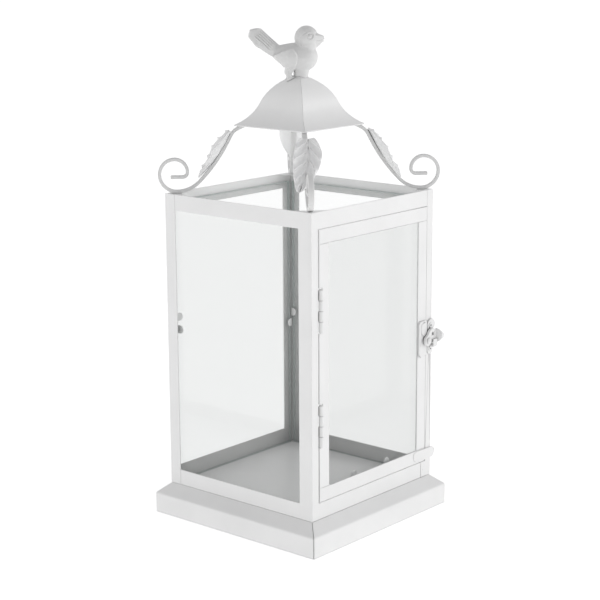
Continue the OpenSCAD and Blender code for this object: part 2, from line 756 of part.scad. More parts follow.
// Two tubular rivets through the keeper's ears and the body's flange
module keeper_eyelets() {
    through = keeper_t + sheet_t;
    color(shade) for (s = [-1, 1])
        translate([keeper_x, -wall_in, latch_z + s * eyelet_gap / 2]) rotate([90, 0, 0])
            difference() {
                union() {
                    translate([0, 0, -0.4]) cylinder(r = eyelet_r, h = through + 0.8);
                    translate([0, 0, -0.4]) cylinder(r = 1.6, h = 0.4);
                    translate([0, 0, through]) cylinder(r = 1.7, h = 0.4);
                }
                translate([0, 0, -1]) cylinder(r = 0.6, h = through + 3);
            }
}

// ---------------------------------------------------------------- roof and its straps

// Triangular plates inside the rim's corners, which carry the straps' feet
module corner_gussets() {
    leg_l = 14;
    color(paint) for (turn = [0:90:270])
        rotate(turn) translate([wall_in, wall_in, rim_z - sheet_t]) linear_extrude(sheet_t)
            polygon([[0, 0], [-leg_l, 0], [0, -leg_l]]);
}

module front_left_strap() { strap(front_left); }
module front_right_strap() { strap(front_right); }
module rear_right_strap() { strap(rear_right); }
module rear_left_strap() { strap(rear_left); }

module front_left_leaf() { leaf(front_left); }
module front_right_leaf() { leaf(front_right); }
module rear_right_leaf() { leaf(rear_right); }
module rear_left_leaf() { leaf(rear_left); }

module right_roof_panel() { roof_panel(0); }
module rear_roof_panel() { roof_panel(90); }
module left_roof_panel() { roof_panel(180); }
module front_roof_panel() { roof_panel(270); }

// ---------------------------------------------------------------- bird

module ball(c, r) {
    translate(c) sphere(r, $fn = 24);
}

// A ball of the tail: along from its root, down from its ridge, and across (1 is its edge)
module tail_ball(along, down, across) {
    r = 1.2;
    ball(tail_root + along * [-cos(tail_rise), 0, sin(tail_rise)]
        - down * [sin(tail_rise), 0, cos(tail_rise)] + [0, across * (tail_w / 2 - r), 0], r);
}

module bird() {
    color(paint) rotate(bird_turn) difference() {
        union() {
            hull() {
                ball(breast, 8.8);
                ball(belly, 8.2);
                ball(rump, 3.2);
            }
            hull() {
                ball(head_c - [0.2, 0, 1], head_r - 1);
                ball(breast + [0, 0, 1], 7.6);
            }
            ball(head_c, head_r);
            hull() {
                ball(head_c + [4, 0, -0.4], 3.8);
                ball([15.6, 0, head_c[2] - 0.6], 0.7);
            }
            hull() {
                tail_ball(0, 1.3, 0);
                tail_ball(17.8, 1.3, 0);
                for (s = [-1, 1]) {
                    tail_ball(1, 4.6, s * 0.7);
                    tail_ball(1, 6.4, s * 0.6);
                    tail_ball(11.5, 6, s);
                    tail_ball(11.5, 9, s);
                    tail_ball(18.6, 5.2, s);
                    tail_ball(17.2, 7.2, s * 0.9);
                }
            }
            for (s = [-1, 1])
                hull() {
                    ball(belly + [-1, s * 2.6, -6], 2.4);
                    ball([-6.4, s * 3.4, bird_foot_z - 1.4], 1.3);
                }
            translate([0, 0, bird_foot_z]) cylinder(r = 3.6, h = 12);
        }
        translate([0, 0, bird_foot_z - 5]) cylinder(r = screw_r, h = 14);
        roof_core();
    }
}

// Solid under the roof's outer surface, which the bird's feet are cut to
module roof_core() {
    outer = concat([for (a = flare_angles) flare_at(a)], [for (a = dome_angles) dome_at(a)]);
    lift = [0, 0.05];
    rotate(-bird_turn) intersection_for(turn = [0, 90])
        rotate([90, 0, turn]) linear_extrude(2 * roof_half, center = true)
            polygon(concat([for (p = outer) p + lift], [for (p = reversed(outer)) [-p[0], p[1]] + lift]));
}

screw_head_z = apex_z - 3.6;
module bird_screw() {
    color(shade) {
        translate([0, 0, screw_head_z]) cylinder(r = screw_r - 0.05, h = bird_foot_z + 8 - screw_head_z);
        translate([0, 0, screw_head_z - 2]) cylinder(r = 2.8, h = 2);
    }
}

module bird_washer() {
    color(shade) translate([0, 0, screw_head_z]) difference() {
        cylinder(r = 4.2, h = 0.8);
        translate([0, 0, -1]) cylinder(r = screw_r + 0.1, h = 3);
    }
}

base_tray();
front_sheet();
rear_sheet();
left_glass();
rear_glass();
right_glass();
left_glass_clips();
rear_glass_clips();
right_glass_clips();
door_frame();
door_glass();
door_glass_clips();
door_pull_tab();
upper_hinge_frame_leaf();
upper_hinge_door_leaf();
upper_hinge_pin();
lower_hinge_frame_leaf();
lower_hinge_door_leaf();
lower_hinge_pin();
latch_plate();
latch_pivot_rivet();
latch_lever();
latch_keeper();
keeper_eyelets();
corner_gussets();
front_left_strap();
front_right_strap();
rear_right_strap();
rear_left_strap();
front_left_leaf();
front_right_leaf();
rear_right_leaf();
rear_left_leaf();
front_roof_panel();
right_roof_panel();
rear_roof_panel();
left_roof_panel();
bird();
bird_screw();
bird_washer();
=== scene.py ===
"""Looks of the candle lantern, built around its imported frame."""

import math

import bmesh
import bpy
from mathutils import Matrix, Vector
from mathutils.bvhtree import BVHTree


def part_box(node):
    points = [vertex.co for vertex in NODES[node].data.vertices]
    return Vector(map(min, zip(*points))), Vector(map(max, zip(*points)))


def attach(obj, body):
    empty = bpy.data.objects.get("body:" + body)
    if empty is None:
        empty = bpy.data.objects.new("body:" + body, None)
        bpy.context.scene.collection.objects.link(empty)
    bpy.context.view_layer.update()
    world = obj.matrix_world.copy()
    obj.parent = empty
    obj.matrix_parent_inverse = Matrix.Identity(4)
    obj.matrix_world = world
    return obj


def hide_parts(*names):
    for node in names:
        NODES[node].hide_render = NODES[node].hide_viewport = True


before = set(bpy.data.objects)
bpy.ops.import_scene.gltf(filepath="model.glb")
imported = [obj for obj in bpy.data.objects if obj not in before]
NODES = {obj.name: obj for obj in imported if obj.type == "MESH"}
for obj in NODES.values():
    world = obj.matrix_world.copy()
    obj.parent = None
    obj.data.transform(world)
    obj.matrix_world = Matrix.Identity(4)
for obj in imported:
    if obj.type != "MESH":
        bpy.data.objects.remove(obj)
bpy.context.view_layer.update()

MM = 0.001
SIDES = ("front", "right", "rear", "left")
WINDOWS = ("left", "rear", "right")

# The four corners, as turns about Z of a piece that is drawn towards +X
CORNERS = {"front_left": 225, "front_right": 315, "rear_right": 45, "rear_left": 135}


def turned(angle):
    """Rotation about Z, in degrees."""
    return Matrix.Rotation(math.radians(angle), 4, "Z")


# ---------------------------------------------------------------- camera, light and floor

LAMP_AIM_HEIGHT = 0.1
# Half of the floor's width, and the strength of its own light
FLOOR_HALF = 25
FLOOR_GLOW = 0.52

# The photograph's camera: its turn round the lantern, its rise and its tilt, its distance from
# the point that it looks at, and how far that point is above the table and right of the middle
CAMERA_AZIMUTH = math.radians(-49.38)
CAMERA_ELEVATION = math.radians(12.6)
CAMERA_ROLL = math.radians(-0.31)
CAMERA_DISTANCE = 1.0865
TARGET_HEIGHT = 0.1424
TARGET_RIGHT = -0.00026
SENSOR_WIDTH_MM = 36
LENS_MM = 99.61


def make_camera():
    """A long lens a metre away, a little above the middle, facing the front left corner."""
    azimuth, elevation, roll = CAMERA_AZIMUTH, CAMERA_ELEVATION, CAMERA_ROLL
    back = Vector((
        math.sin(azimuth) * math.cos(elevation),
        -math.cos(azimuth) * math.cos(elevation),
        math.sin(elevation),
    ))
    right = Vector((math.cos(azimuth), math.sin(azimuth), 0))
    up = back.cross(right)
    rolled_right = right * math.cos(roll) + up * math.sin(roll)
    rolled_up = up * math.cos(roll) - right * math.sin(roll)
    data = bpy.data.cameras.new("camera")
    data.sensor_width = SENSOR_WIDTH_MM
    data.lens = LENS_MM
    camera = bpy.data.objects.new("camera", data)
    place = right * TARGET_RIGHT + Vector((0, 0, TARGET_HEIGHT)) + back * CAMERA_DISTANCE
    matrix = Matrix((rolled_right, rolled_up, back)).transposed().to_4x4()
    camera.matrix_world = Matrix.Translation(place) @ matrix
    bpy.context.scene.collection.objects.link(camera)
    bpy.context.scene.camera = camera


# The studio's light: level with the floor, halfway up and overhead
WORLD_LEVEL = (1.0, 1.0, 1.0, 1)
WORLD_MIDDLE = (0.78, 0.78, 0.785, 1)
WORLD_TOP = (0.46, 0.46, 0.465, 1)
# Behind the camera the studio is darker: where the dark starts and where it is full, as cosines
# of the angle from TOWARD_CAMERA, and the share of the light that stays
TOWARD_CAMERA = (-0.76, -0.65, 0.0)
DARK_START = 0.4
DARK_FULL = 0.95
DARK_LIGHT = 0.4


def make_world():
    """A studio with bright walls at both sides, darker overhead and behind the camera."""
    world = bpy.data.worlds.new("studio")
    bpy.context.scene.world = world
    world.use_nodes = True
    tree = world.node_tree
    tree.nodes.clear()
    coordinates = tree.nodes.new("ShaderNodeTexCoord")
    split = tree.nodes.new("ShaderNodeSeparateXYZ")
    ramp = tree.nodes.new("ShaderNodeValToRGB")
    background = tree.nodes.new("ShaderNodeBackground")
    output = tree.nodes.new("ShaderNodeOutputWorld")
    stops = ramp.color_ramp.elements
    stops[0].color = WORLD_LEVEL
    stops[1].color = WORLD_TOP
    stops.new(0.5).color = WORLD_MIDDLE
    toward = tree.nodes.new("ShaderNodeVectorMath")
    toward.operation = "DOT_PRODUCT"
    toward.inputs[1].default_value = TOWARD_CAMERA
    shade = tree.nodes.new("ShaderNodeMapRange")
    shade.interpolation_type = "SMOOTHSTEP"
    shade.inputs["From Min"].default_value = DARK_START
    shade.inputs["From Max"].default_value = DARK_FULL
    shade.inputs["To Min"].default_value = 1.0
    shade.inputs["To Max"].default_value = DARK_LIGHT
    dim = tree.nodes.new("ShaderNodeVectorMath")
    dim.operation = "SCALE"
    tree.links.new(coordinates.outputs["Generated"], split.inputs[0])
    tree.links.new(coordinates.outputs["Generated"], toward.inputs[0])
    tree.links.new(toward.outputs["Value"], shade.inputs["Value"])
    tree.links.new(split.outputs["Z"], ramp.inputs["Fac"])
    tree.links.new(ramp.outputs["Color"], dim.inputs[0])
    tree.links.new(shade.outputs["Result"], dim.inputs["Scale"])
    tree.links.new(dim.outputs["Vector"], background.inputs["Color"])
    tree.links.new(background.outputs[0], output.inputs["Surface"])


def make_lamp(name, place, size, power):
    """A round soft lamp that faces the body; its size is in metres and its power in watts."""
    data = bpy.data.lights.new(name, "AREA")
    data.shape = "DISK"
    data.size = size
    data.energy = power
    lamp = bpy.data.objects.new(name, data)
    lamp.location = place
    aim = Vector((0, 0, LAMP_AIM_HEIGHT)) - Vector(place)
    lamp.rotation_euler = aim.to_track_quat("-Z", "Y").to_euler()
    bpy.context.scene.collection.objects.link(lamp)


def make_stage():
    """A plain pale floor that reaches past the camera's view and glows a little, like paper."""
    bm = bmesh.new()
    bmesh.ops.create_grid(bm, x_segments=2, y_segments=2, size=FLOOR_HALF)
    floor = new_object("floor", bm)
    material = bpy.data.materials.new("floor")
    material.use_nodes = True
    shader = material.node_tree.nodes["Principled BSDF"]
    shader.inputs["Base Color"].default_value = (0.9, 0.9, 0.9, 1)
    shader.inputs["Roughness"].default_value = 0.9
    shader.inputs["Specular IOR Level"].default_value = 0.1
    shader.inputs["Emission Color"].default_value = (1, 1, 1, 1)
    shader.inputs["Emission Strength"].default_value = FLOOR_GLOW
    floor.data.materials.append(material)


# ---------------------------------------------------------------- materials


class Shader:
    """A small helper that builds one node material."""

    def __init__(self, name):
        self.material = bpy.data.materials.new(name)
        self.material.use_nodes = True
        self.tree = self.material.node_tree
        self.surface = self.tree.nodes["Principled BSDF"]

    def node(self, kind, **inputs):
        """A new node, with values or other nodes' sockets for its inputs."""
        made = self.tree.nodes.new("ShaderNode" + kind)
        for key, value in inputs.items():
            self.put(made.inputs[key.replace("_", " ")], value)
        return made

    def put(self, socket, value):
        """Links a node's output to the socket, or sets the socket to a value."""
        if isinstance(value, bpy.types.NodeSocket):
            self.tree.links.new(value, socket)
        else:
            socket.default_value = value

    def noise(self, scale, detail, roughness=0.5):
        """Noise of about scale waves to a metre, fixed to the piece."""
        place = self.node("TexCoord").outputs["Object"]
        made = self.node("TexNoise", Vector=place, Scale=scale, Detail=detail, Roughness=roughness)
        return made.outputs["Fac"]

    def between(self, value, low, high, from_low=0.0, from_high=1.0):
        """A value from from_low to from_high mapped to low..high, and clamped."""
        made = self.node("MapRange", Value=value)
        made.inputs["From Min"].default_value = from_low
        made.inputs["From Max"].default_value = from_high
        made.inputs["To Min"].default_value = low
        made.inputs["To Max"].default_value = high
        return made.outputs["Result"]

    def mix(self, factor, first, second):
        """A colour between two; sockets 6, 7 and 2 are the Mix node's colours."""
        made = self.tree.nodes.new("ShaderNodeMix")
        made.data_type = "RGBA"
        self.put(made.inputs["Factor"], factor)
        self.put(made.inputs[6], first)
        self.put(made.inputs[7], second)
        return made.outputs[2]

    def painted_crease_mask(self, reach, start, end, own):
        """Mask of the painted crease shade: 1 in creases narrower than reach, 0 on open surfaces;
        own skips other pieces.
        """
        made = self.node("AmbientOcclusion", Distance=reach)
        made.samples = 8
        made.only_local = own
        return self.between(made.outputs["AO"], 1.0, 0.0, start, end)


MOTTLE_SHADE = 0.968
PEEL_DEPTH = 0.05 * MM
GLASS_IOR = 1.5


def white_paint_with_crease_shade(name, colour, grain, bump, reach=1.4, shade_tone=0.2, own=False):
    """Satin white enamel: faint mottling and orange peel, with painted shade as thin dark lines in
    its creases.

    The peel has grain waves to a metre and bump as its strength. Creases narrower than reach
    millimetres get painted shade in a dark grey tone given as an argument; with own, those between
    two pieces stay pale.
    """
    s = Shader(name)
    mottle = s.between(s.noise(38, 4), 0.0, 1.0, 0.35, 0.65)
    shade = [MOTTLE_SHADE * c for c in colour[:3]] + [1]
    pale = s.mix(mottle, colour, shade)
    # Painted shade: creases, where shade falls, are darkened in the base colour
    crease_shade = s.painted_crease_mask(reach * MM, 0.12, 0.62, own)
    s.put(s.surface.inputs["Base Color"], s.mix(crease_shade, pale, (shade_tone, shade_tone, 1.04 * shade_tone, 1)))
    s.put(s.surface.inputs["Roughness"], s.between(s.noise(160, 3), 0.34, 0.46, 0.3, 0.7))
    peel = s.noise(grain, 2, 0.45)
    relief = s.node("Bump", Height=peel, Strength=bump, Distance=PEEL_DEPTH)
    s.put(s.surface.inputs["Normal"], relief.outputs["Normal"])
    s.surface.inputs["Coat Weight"].default_value = 0.12
    s.surface.inputs["Coat Roughness"].default_value = 0.22
    return s.material


def clear_glass(name, tint):
    """A pane's faces: they tint and mirror a little, and cast no shadow."""
    s = Shader(name)
    tree = s.tree
    through = s.node("BsdfTransparent", Color=tint)
    mirror = s.node("BsdfGlossy", Color=(0.55, 0.55, 0.55, 1), Roughness=0.02)
    behind = s.node("NewGeometry").outputs["Backfacing"]
    fresnel = s.node("Fresnel", IOR=s.between(behind, GLASS_IOR, 1 / GLASS_IOR))
    ripple = s.node("Bump", Height=s.noise(24, 3), Strength=0.05, Distance=0.2 * MM)
    s.put(mirror.inputs["Normal"], ripple.outputs["Normal"])
    mix = s.node("MixShader", Fac=fresnel.outputs[0])
    tree.links.new(through.outputs[0], mix.inputs[1])
    tree.links.new(mirror.outputs[0], mix.inputs[2])
    clear = s.node("BsdfTransparent", Color=(1, 1, 1, 1))
    lit = s.node("MixShader", Fac=s.node("LightPath").outputs["Is Shadow Ray"])
    tree.links.new(mix.outputs[0], lit.inputs[1])
    tree.links.new(clear.outputs[0], lit.inputs[2])
    tree.links.new(lit.outputs[0], tree.nodes["Material Output"].inputs["Surface"])
    tree.nodes.remove(s.surface)
    return s.material


def glass_edge():
    """A pane's ground edge: a pale, frosted green."""
    s = Shader("pane_edge")
    tone = s.between(s.noise(700, 3), 0.0, 1.0, 0.3, 0.7)
    green = s.mix(tone, (0.60, 0.65, 0.64, 1), (0.52, 0.57, 0.56, 1))
    s.put(s.surface.inputs["Base Color"], green)
    s.put(s.surface.inputs["Roughness"], s.between(s.noise(900, 2), 0.35, 0.6, 0.3, 0.7))
    return s.material


def zinc_steel():
    """Zinc-plated steel, for the screw and the washer under the roof."""
    s = Shader("zinc")
    tone = s.between(s.noise(900, 4, 0.6), 0.0, 1.0, 0.3, 0.7)
    grey = s.mix(tone, (0.62, 0.63, 0.65, 1), (0.72, 0.73, 0.73, 1))
    s.put(s.surface.inputs["Base Color"], grey)
    s.put(s.surface.inputs["Roughness"], s.between(s.noise(1500, 3), 0.25, 0.42, 0.3, 0.7))
    s.surface.inputs["Metallic"].default_value = 1.0
    return s.material


# ---------------------------------------------------------------- mesh helpers


def smoothstep(value, low, high):
    """0 up to low and 1 from high on, with an S-curve between."""
    t = min(1.0, max(0.0, (value - low) / (high - low)))
    return t * t * (3 - 2 * t)


def hump(distance, width):
    """A smooth hump: 1 at no distance, and almost 0 at twice the width."""
    return math.exp(-((distance / width) ** 2))


def new_object(name, bm):
    """A new object from a bmesh, which is freed."""
    mesh = bpy.data.meshes.new(name)
    bm.normal_update()
    bm.to_mesh(mesh)
    bm.free()
    made = bpy.data.objects.new(name, mesh)
    bpy.context.scene.collection.objects.link(made)
    return made


def smooth(piece):
    """Shades all of a piece's faces smooth."""
    for polygon in piece.data.polygons:
        polygon.use_smooth = True


def surface(*nodes):
    """The surface of some CAD nodes, for casting rays at."""
    bm = bmesh.new()
    for node in nodes:
        bm.from_mesh(NODES[node].data)
    tree = BVHTree.FromBMesh(bm)
    bm.free()
    return tree


def add_piece(piece, body, slot, materials, *nodes):
    """Puts a finished piece in the frame, and hides the CAD nodes that it stands for."""
    for material in materials:
        piece.data.materials.append(material)
    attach(piece, body)
    if nodes:
        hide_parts(*nodes)


def dress(node, material, edge):
    """Gives a CAD node its material, and rounds its sharp edges by edge metres."""
    piece = NODES[node]
    piece.data.materials.clear()
    piece.data.materials.append(material)
    smooth(piece)
    weld = piece.modifiers.new("weld", "WELD")
    weld.merge_threshold = 0.002 * MM
    bevel = piece.modifiers.new("round", "BEVEL")
    bevel.width = edge
    bevel.segments = 2
    bevel.limit_method = "ANGLE"
    bevel.angle_limit = math.radians(30)
    bevel.use_clamp_overlap = False
    bevel.miter_outer = "MITER_ARC"
    normals = piece.modifiers.new("normals", "WEIGHTED_NORMAL")
    normals.keep_sharp = False
    normals.weight = 60


# ---------------------------------------------------------------- glass

PANE_CHAMFER = 0.3 * MM


def make_pane(node, body, faces, edges):
    """A glass pane the size of its CAD node, with ground edges."""
    low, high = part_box(node)
    bm = bmesh.new()
    bmesh.ops.create_cube(bm, size=1)
    size, middle = high - low, (high + low) / 2
    thin = min(range(3), key=lambda axis: size[axis])
    for vert in bm.verts:
        vert.co = Vector(middle[i] + vert.co[i] * size[i] for i in range(3))
    rim = [e for e in bm.edges if abs((e.verts[0].co - e.verts[1].co)[thin]) < 1e-6]
    bmesh.ops.bevel(bm, geom=rim, offset=PANE_CHAMFER, segments=1, profile=0.5, affect="EDGES")
    bm.normal_update()
    for face in bm.faces:
        face.material_index = 0 if abs(face.normal[thin]) > 0.9 else 1
    pane = new_object(node + "_pane", bm)
    add_piece(pane, body, "clear_glass", [faces, edges], node)


# ---------------------------------------------------------------- leaves

# A leaf's point is given by u, from its stalk (0) to its tip (1), and by v, across it (-1 to 1)
LEAF_ROWS = 108
LEAF_COLUMNS = 48
LEAF_HALF = 8.8 * MM
STALK_HALF = 0.5 * MM
LEAF_THICK = 0.8 * MM
LEAF_OFF_STRAP = 0.12 * MM
LEAF_END_GAP = 0.4 * MM
LEAF_CUP = 4.2 * MM
VEIN_STEP = 2.6 * MM
MIDRIB_STEPS = 24
# The veins where v < 0, and those where v > 0: slant, how many, and where the first one starts
VEINS_LEFT = (0.24, 5, 0.2)
VEINS_RIGHT = (0.42, 4, 0.45)
# Between two veins the face rises up to this share of the way, and then drops to the next vein
VEIN_CREST = 0.92


def midrib(corner):
    """The line on the strap's outer side that a corner's leaf lies on, top first."""
    turn = turned(CORNERS[corner])
    strap = surface(corner + "_strap")
    low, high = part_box(corner + "_leaf")
    outward = turn @ Vector((1, 0, 0))
    top = high.z - LEAF_END_GAP
    bottom = low.z + LEAF_END_GAP
    line = []
    for i in range(MIDRIB_STEPS + 1):
        height = top - (top - bottom) * i / MIDRIB_STEPS
        inner = strap.ray_cast(Vector((0, 0, height)), outward)[0]
        outer = strap.ray_cast(inner + outward * 0.05 * MM, outward)[0]
        line.append(turn.inverted() @ outer)
    return line


def along(line, share):
    """The point and the direction at a share (0 to 1) of a line's points."""
    place = share * (len(line) - 1)
    i = min(int(place), len(line) - 2)
    return line[i].lerp(line[i + 1], place - i), (line[i + 1] - line[i]).normalized()


def leaf_half_width(u):
    """Half of the leaf's width at u."""
    body = math.sin(math.pi * (0.06 + 0.94 * u) ** 0.85) ** 0.62 if u < 1 else 0.0
    return STALK_HALF + (LEAF_HALF - STALK_HALF) * body


def leaf_relief(u, v):
    """Height of the leaf's face over a plain sheet: midrib and stepped side veins."""
    across = abs(v)
    groove = -1.1 * MM * hump(v - 0.12, 0.07) * (1 - 0.6 * u)
    ridge = 0.8 * MM * hump(v + 0.04, 0.07) * (1 - 0.5 * u)
    slant, count, start = VEINS_LEFT if v < 0 else VEINS_RIGHT
    phase = (u - slant * across ** 0.9) * count - start
    cell = phase - math.floor(phase)
    step = cell ** 2.2 if cell < VEIN_CREST else (1 - cell) / (1 - VEIN_CREST) * 0.83
    at_midrib = min(1.0, across / 0.14)
    at_edge = min(1.0, (1 - across) / 0.12)
    at_ends = min(1.0, u / 0.05, (1 - u) / 0.1)
    return ridge + groove + VEIN_STEP * step * max(0.0, at_midrib * at_edge * at_ends)


def leaf_point(line, u, v, lift):
    """A point lift metres over the leaf's middle sheet, before its corner's turn."""
    foot, direction = along(line, u)
    out = Vector((-direction.z, 0, direction.x))
    if out.x < 0:
        out.negate()
    half = leaf_half_width(u)
    wave = 0.3 * MM * math.sin(11 * u + 3 * v) * abs(v) ** 3
    cup = LEAF_CUP * (abs(v) * half / LEAF_HALF) ** 1.9
    bend = MM * (6.6 * u ** 2.6 - 1.2)
    return foot + Vector((0, v * half - bend, 0)) + out * (cup + lift + wave)


def make_leaf(corner, material):
    """A cast leaf with a midrib and raised side veins, on one strap."""
    line = midrib(corner)
    turn = turned(CORNERS[corner])
    bm = bmesh.new()
    under = []
    upper = []
    for sheet in (under, upper):
        for i in range(LEAF_ROWS + 1):
            u = i / LEAF_ROWS
            row = []
            for j in range(LEAF_COLUMNS + 1):
                v = 2 * j / LEAF_COLUMNS - 1
                lift = LEAF_OFF_STRAP if sheet is under else LEAF_THICK + leaf_relief(u, v)
                row.append(bm.verts.new(turn @ leaf_point(line, u, v, lift)))
            sheet.append(row)
    for i in range(LEAF_ROWS):
        for j in range(LEAF_COLUMNS):
            bm.faces.new((under[i][j], under[i][j + 1], under[i + 1][j + 1], under[i + 1][j]))
            bm.faces.new((upper[i][j], upper[i + 1][j], upper[i + 1][j + 1], upper[i][j + 1]))
    for i in range(LEAF_ROWS):
        for j in (0, LEAF_COLUMNS):
            bm.faces.new((under[i][j], under[i + 1][j], upper[i + 1][j], upper[i][j]))
    for j in range(LEAF_COLUMNS):
        for i in (0, LEAF_ROWS):
            bm.faces.new((under[i][j], upper[i][j], upper[i][j + 1], under[i][j + 1]))
    bmesh.ops.recalc_face_normals(bm, faces=bm.faces)
    leaf = new_object(corner + "_leaf_cast", bm)
    smooth(leaf)
    add_piece(leaf, "lantern_body", "painted_casting", [material], corner + "_leaf")


# ---------------------------------------------------------------- bird

# The bird is shaped in its own plane: x towards its beak, z up from the table, in millimetres
BIRD_TURN = -45
HEAD = Vector((4.9, 0, 312.3))
EYE_X = 6.4
EYE_Z = 313.6
CHEEK_X = 5.2
CHEEK_Z = 311.0
CHEEK_RADIUS = 5.0
BEAK_START_X = 9
MOUTH_Z = 309.7
NOSTRIL_X = 10.6
NOSTRIL_Z = 315.2
SHOULDER_X = -2.6
# The wing's rows of short feathers: how far back they end, their width and their thickness
FEATHER_ROWS = ((3.4, 2.7, 0.36), (6.8, 2.9, 0.34), (10.6, 2.6, 0.3))
# The tail's upper edge starts here; then its rise, half of its width and its edges' radius
TAIL_ROOT = Vector((-12.3, 0, 307.6))
TAIL_RISE = math.radians(42.7)
TAIL_HALF = 4.9
TAIL_ROUND = 1.25
FEATHER_SPACING = 1.35
VOXEL = 0.34
# Points under ROOF_TOP are kept out of the roof, which rays from RAY_START metres up look for
ROOF_TOP = 291
RAY_START = 0.4


def lump(bm, *balls):
    """Adds the convex hull of some balls, each (x, y, z, radius)."""
    part = bmesh.new()
    for x, y, z, radius in balls:
        bmesh.ops.create_icosphere(part, subdivisions=3, radius=radius,
                                   matrix=Matrix.Translation((x, y, z)))
    hull = bmesh.ops.convex_hull(part, input=part.verts)
    inside = [g for g in hull["geom_interior"] if isinstance(g, bmesh.types.BMVert)]
    bmesh.ops.delete(part, geom=inside, context="VERTS")
    mesh = bpy.data.meshes.new("lump")
    part.to_mesh(mesh)
    part.free()
    bm.from_mesh(mesh)
    bpy.data.meshes.remove(mesh)


def tail_place(along_tail, down, across):
    """A point of the tail: along it from its root, down from its ridge, and across it."""
    ahead = Vector((-math.cos(TAIL_RISE), 0, math.sin(TAIL_RISE)))
    below = Vector((-math.sin(TAIL_RISE), 0, -math.cos(TAIL_RISE)))
    return TAIL_ROOT + ahead * along_tail + below * down + Vector((0, across, 0))


def bird_lumps(bm):
    """The bird's masses: body, head, beak, tail, legs and the post under its breast."""
    # Body and neck
    lump(bm, (3.2, 0, 300.2, 8.9), (-4.0, 0, 300.6, 8.7), (-11.0, 0, 302.2, 5.6),
         (-16.0, 0, 304.0, 3.2))
    lump(bm, (3.4, 0, 304.5, 7.2), (HEAD.x, 0, HEAD.z - 1.6, 6.9))
    # Head, then the face with the upper beak, and the throat with the lower beak
    lump(bm, (HEAD.x, 0.6, HEAD.z, 7.1), (HEAD.x, -0.6, HEAD.z, 7.1),
         (HEAD.x - 0.2, 0, HEAD.z, 7.75))
    lump(bm, (7.6, 3.2, 312.4, 3.9), (7.6, -3.2, 312.4, 3.9), (8.0, 0, 309.6, 4.2),
         (14.3, 0.5, 312.0, 1.9), (14.3, -0.5, 312.0, 1.9), (15.2, 0, 310.9, 1.2))
    lump(bm, (8.0, 0, 307.6, 3.4), (13.2, 0, 309.0, 1.2))
    # Tail, from its ridge to its lower edges, and the rump under its root
    outline = [tail_place(0, 1.2, 0), tail_place(15.6, 1.2, 0)]
    for side in (-1, 1):
        outline += [
            tail_place(1, 5.2, side * TAIL_HALF * 0.7),
            tail_place(0, 7.4, side * TAIL_HALF * 0.55),
            tail_place(11.5, 6.0, side * TAIL_HALF * 0.86),
            tail_place(11.5, 9.4, side * TAIL_HALF * 0.8),
            tail_place(17.2, 2.6, side * TAIL_HALF * 0.45),
            tail_place(19.2, 5.4, side * TAIL_HALF * 0.6),
            tail_place(17.6, 8.4, side * TAIL_HALF * 0.6),
        ]
    lump(bm, *[(place.x, place.y, place.z, TAIL_ROUND) for place in outline])
    lump(bm, (-12.5, 0, 302.6, 4.4), (-17.0, 0, 305.0, 3.4))
    # Thighs, shins and feet
    for side in (-1, 1):
        lump(bm, (-5.2, side * 3.3, 295.4, 3.4), (-7.2, side * 3.2, 290.6, 2.2))
        lump(bm, (-7.2, side * 3.2, 290.8, 1.9), (-6.2, side * 3.3, 287.2, 1.6))
        lump(bm, (-7.6, side * 3.3, 286.2, 1.1), (-4.0, side * 3.5, 287.6, 0.9))
    # The post under the breast
    lump(bm, (1.6, 0, 293.5, 5.2), (0.9, 0, 287.4, 4.6))


def wing_height(x, z):
    """How far a wing stands proud of the bird's side at (x, z), in millimetres."""
    # u runs back along the wing from its shoulder, and v up across it
    ahead = x - SHOULDER_X
    u = -ahead * 0.98 - (z - 301.5) * 0.12
    v = (z - 301.0) * 0.98 - ahead * 0.16
    if u < -2 or u > 20:
        return 0.0
    upper = 5.4 * (1 - (max(u, 0) / 20.5) ** 2)
    lower = 8.2 * (1 - (max(u - 1, 0) / 18.5) ** 1.2)
    across = v / max(0.1, upper) if v > 0 else -v / max(0.1, lower)
    front = (u + 1.0) - 2.4 * across ** 2 * (1.0 if v > 0 else 1.5)
    inside = smoothstep(front, 0.0, 0.8) * (1 - smoothstep(across, 0.84, 1.0))
    shingle = 0.0
    for edge_u, spacing, rise in FEATHER_ROWS:
        beside = (v / spacing) % 1.0 - 0.5
        lobe = edge_u + math.sqrt(max(0.0, 0.36 - beside * beside)) * spacing
        shingle += rise * (1 - smoothstep(u, lobe - 0.1, lobe + 0.4))
    quill = 0.2 * abs(math.sin(math.pi * v / 1.7)) ** 0.5 * smoothstep(u, 11, 13)
    return inside * (1.0 + shingle + quill)


def face_detail(x, y, z):
    """Moves of the head's surface: eyes in rings, cheeks, nostrils and the beak's line."""
    move = 0.0
    if abs(y) > 3.4 and x > -1:
        eye = math.hypot(x - EYE_X, z - EYE_Z)
        move += 0.4 * (1 - smoothstep(eye, 0.7, 1.2)) - 0.35 * hump(eye - 1.6, 0.4)
        move += 0.25 * hump(eye - 2.4, 0.4)
        cheek = math.hypot(x - CHEEK_X, z - CHEEK_Z)
        move -= 0.4 * hump(cheek - CHEEK_RADIUS, 0.5) * smoothstep(6.0 - x, 0, 2)
    if x > BEAK_START_X:
        mouth = z - (MOUTH_Z + 0.14 * (x - BEAK_START_X))
        move -= 0.8 * hump(mouth, 0.45) * smoothstep(x, BEAK_START_X, BEAK_START_X + 2)
        nostril = math.hypot(x - NOSTRIL_X, (z - NOSTRIL_Z) * 1.2)
        move -= 0.5 * hump(nostril, 0.9)
    return move


